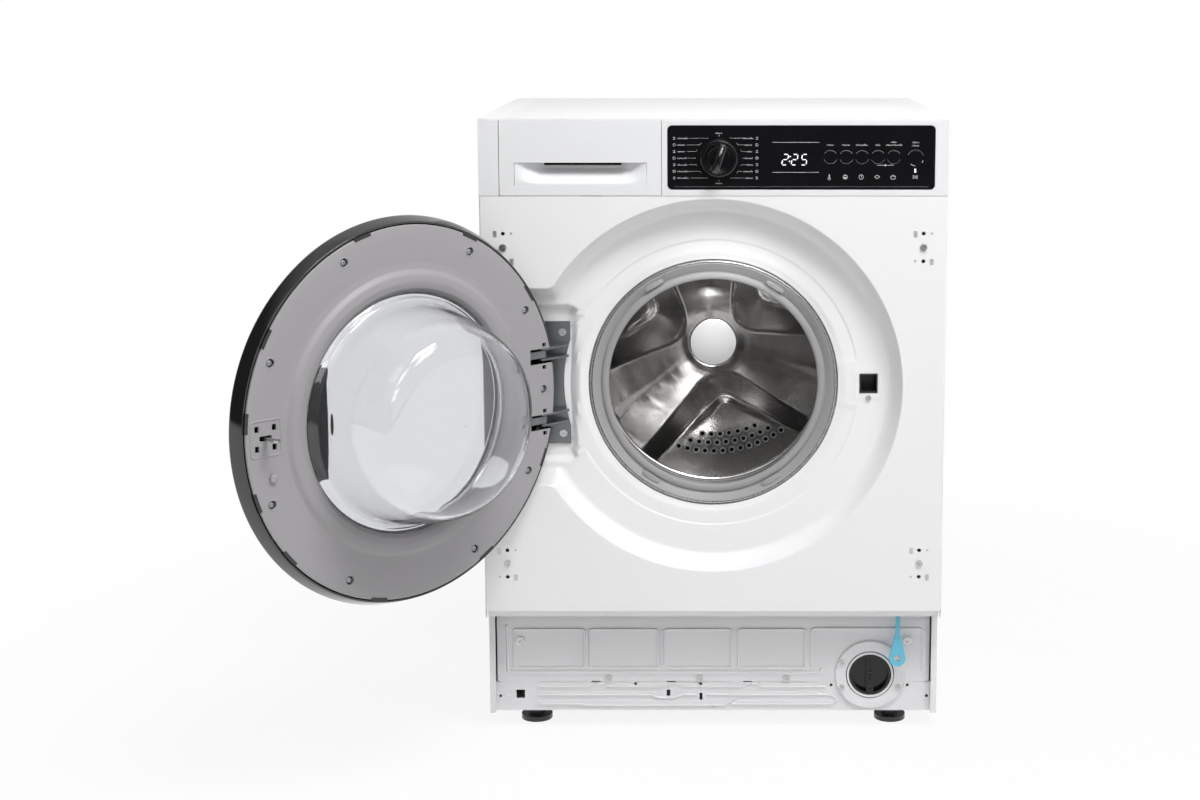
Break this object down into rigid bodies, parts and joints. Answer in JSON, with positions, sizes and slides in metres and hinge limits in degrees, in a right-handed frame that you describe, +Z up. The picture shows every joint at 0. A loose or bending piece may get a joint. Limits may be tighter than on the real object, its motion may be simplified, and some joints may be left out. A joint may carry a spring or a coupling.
{
  "type": "integrated washing machine",
  "caption": "Built-in front-loading washing machine with a round glass door standing open, dispenser drawer, black control panel, suspended tub with drum, filter and levelling feet.",
  "frame": {"origin": "on the floor, at the centre of the pattern of the four levelling feet", "axes": "+X to the right seen from the front, +Y from the front panel towards the back, +Z up"},
  "size_m": [0.8482, 0.8605, 0.82],
  "materials": {
    "front_enamel": "gloss",
    "body_enamel": "satin",
    "galvanised_steel": "matte",
    "white_plastic": "satin",
    "tray_plastic": "matte",
    "black_gloss": "gloss",
    "black_plastic": "satin",
    "grey_plastic": "matte",
    "clear_glass": "clear",
    "grey_rubber": "matte",
    "black_rubber": "matte",
    "hinge_steel": "satin",
    "zinc_steel": "satin",
    "stainless_steel": "polished",
    "lifter_plastic": "satin",
    "tub_plastic": "matte",
    "concrete": "rough",
    "cast_aluminium": "cast",
    "motor_steel": "satin",
    "pump_plastic": "matte",
    "blue_plastic": "satin"
  },
  "bodies": {
    "cabinet": {"left_side_panel": "body_enamel", "right_side_panel": "body_enamel", "rear_panel": "galvanised_steel", "rear_service_cover": "galvanised_steel", "top_cover": "front_enamel", "base_tray": "body_enamel", "kick_plate": "body_enamel", "front_panel": "front_enamel", "control_fascia": "white_plastic", "control_panel": "black_gloss", "dispenser_housing": "tray_plastic", "inlet_valve": "pump_plastic", "tub_hoses": "black_rubber", "door_seal": "grey_rubber", "seal_clamp": "zinc_steel", "hinge_bracket": "hinge_steel", "door_lock": "black_plastic", "panel_screws": "zinc_steel", "furniture_hinge_plates": "galvanised_steel", "drain_pump": "pump_plastic", "rear_fittings": "pump_plastic", "suspension_springs": "motor_steel", "damper_cylinders": "motor_steel"},
    "tub": {"tub_front": "tub_plastic", "tub_rear": "tub_plastic", "counterweights": "concrete", "heater": "stainless_steel", "motor_housing": "motor_steel", "drum_bearings": "motor_steel", "damper_rods": "motor_steel", "drive_belt": "black_rubber"},
    "drum": {"drum_wall": "stainless_steel", "drum_back": "stainless_steel", "drum_lifters": "lifter_plastic", "drum_spider": "cast_aluminium", "drum_pulley": "cast_aluminium"},
    "motor_rotor": {"motor_pulley": "motor_steel"},
    "door": {"door_cover": "black_gloss", "door_window": "clear_glass", "door_frame": "grey_plastic", "door_glass": "clear_glass", "door_arms": "hinge_steel", "door_screws": "zinc_steel"},
    "hook": {"door_hook": "zinc_steel"},
    "drawer": {"drawer_front": "white_plastic", "drawer_tray": "tray_plastic"},
    "knob": {"programme_knob": "black_plastic"},
    "start_key": {"start_button": "black_plastic"},
    "filter": {"filter_basket": "pump_plastic"},
    "cap": {"filter_cap": "black_plastic"},
    "pull": {"release_pull": "blue_plastic"},
    "option_key_1": {"option_button_1": "black_plastic"},
    "option_key_2": {"option_button_2": "black_plastic"},
    "option_key_3": {"option_button_3": "black_plastic"},
    "option_key_4": {"option_button_4": "black_plastic"},
    "option_key_5": {"option_button_5": "black_plastic"},
    "foot_body_front_left": {"foot_front_left": "black_plastic"},
    "foot_body_front_right": {"foot_front_right": "black_plastic"},
    "foot_body_rear_left": {"foot_rear_left": "black_plastic"},
    "foot_body_rear_right": {"foot_rear_right": "black_plastic"}
  },
  "joints": [
    {"name": "tub_bounce", "type": "slide", "parent": "cabinet", "child": "tub", "axis": [0, 0, 1], "range_m": [-0.008, 0.008], "stiffness_N_per_m": 15000, "springref_m": 0.02497, "deforming": ["door_seal", "tub_hoses", "suspension_springs"]},
    {"name": "drum_spin", "type": "hinge", "parent": "tub", "child": "drum", "pos_m": [0, 0, 0.474], "axis": [0, 1, 0], "continuous": true},
    {"name": "motor_spin", "type": "hinge", "parent": "tub", "child": "motor_rotor", "pos_m": [-0.12, 0.2, 0.15], "axis": [0, 1, 0], "continuous": true},
    {"name": "door_swing", "type": "hinge", "parent": "cabinet", "child": "door", "pos_m": [-0.2206, -0.262, 0.474], "axis": [0, 0, 1], "range_deg": [0, 135]},
    {"name": "hook_pivot", "type": "hinge", "parent": "door", "child": "hook", "pos_m": [-0.51447, -0.56577, 0.474], "axis": [0, 0, -1], "range_deg": [0, 8], "stiffness_Nm_per_rad": 0.5},
    {"name": "drawer_slide", "type": "slide", "parent": "cabinet", "child": "drawer", "axis": [0, -1, 0], "range_m": [0, 0.2]},
    {"name": "knob_turn", "type": "hinge", "parent": "cabinet", "child": "knob", "pos_m": [0.0072, -0.27, 0.77], "axis": [0, 1, 0], "continuous": true},
    {"name": "option_press_1", "type": "slide", "parent": "cabinet", "child": "option_key_1", "axis": [0, 1, 0], "range_m": [0, 0.0015], "stiffness_N_per_m": 800},
    {"name": "option_press_2", "type": "slide", "parent": "cabinet", "child": "option_key_2", "axis": [0, 1, 0], "range_m": [0, 0.0015], "stiffness_N_per_m": 800},
    {"name": "option_press_3", "type": "slide", "parent": "cabinet", "child": "option_key_3", "axis": [0, 1, 0], "range_m": [0, 0.0015], "stiffness_N_per_m": 800},
    {"name": "option_press_4", "type": "slide", "parent": "cabinet", "child": "option_key_4", "axis": [0, 1, 0], "range_m": [0, 0.0015], "stiffness_N_per_m": 800},
    {"name": "option_press_5", "type": "slide", "parent": "cabinet", "child": "option_key_5", "axis": [0, 1, 0], "range_m": [0, 0.0015], "stiffness_N_per_m": 800},
    {"name": "start_press", "type": "slide", "parent": "cabinet", "child": "start_key", "axis": [0, 1, 0], "range_m": [0, 0.0015], "stiffness_N_per_m": 800},
    {"name": "filter_slide", "type": "slide", "parent": "cabinet", "child": "filter", "axis": [0, -1, 0], "range_m": [0, 0.11]},
    {"name": "filter_cap_turn", "type": "hinge", "parent": "filter", "child": "cap", "pos_m": [0.2095, -0.22, 0.075], "axis": [0, -1, 0], "range_deg": [0, 90]},
    {"name": "pull_release", "type": "slide", "parent": "cabinet", "child": "pull", "axis": [0, 0, -1], "range_m": [0, 0.01], "stiffness_N_per_m": 300},
    {"name": "foot_turn_front_left", "type": "hinge", "parent": "cabinet", "child": "foot_body_front_left", "pos_m": [-0.24, -0.18, 0], "axis": [0, 0, 1], "continuous": true},
    {"name": "foot_turn_front_right", "type": "hinge", "parent": "cabinet", "child": "foot_body_front_right", "pos_m": [0.24, -0.18, 0], "axis": [0, 0, 1], "continuous": true},
    {"name": "foot_turn_rear_left", "type": "hinge", "parent": "cabinet", "child": "foot_body_rear_left", "pos_m": [-0.24, 0.18, 0], "axis": [0, 0, 1], "continuous": true},
    {"name": "foot_turn_rear_right", "type": "hinge", "parent": "cabinet", "child": "foot_body_rear_right", "pos_m": [0.24, 0.18, 0], "axis": [0, 0, 1], "continuous": true}
  ],
  "couplings": [
    {"joint": "motor_spin", "follows": "drum_spin", "ratio": 13}
  ]
}
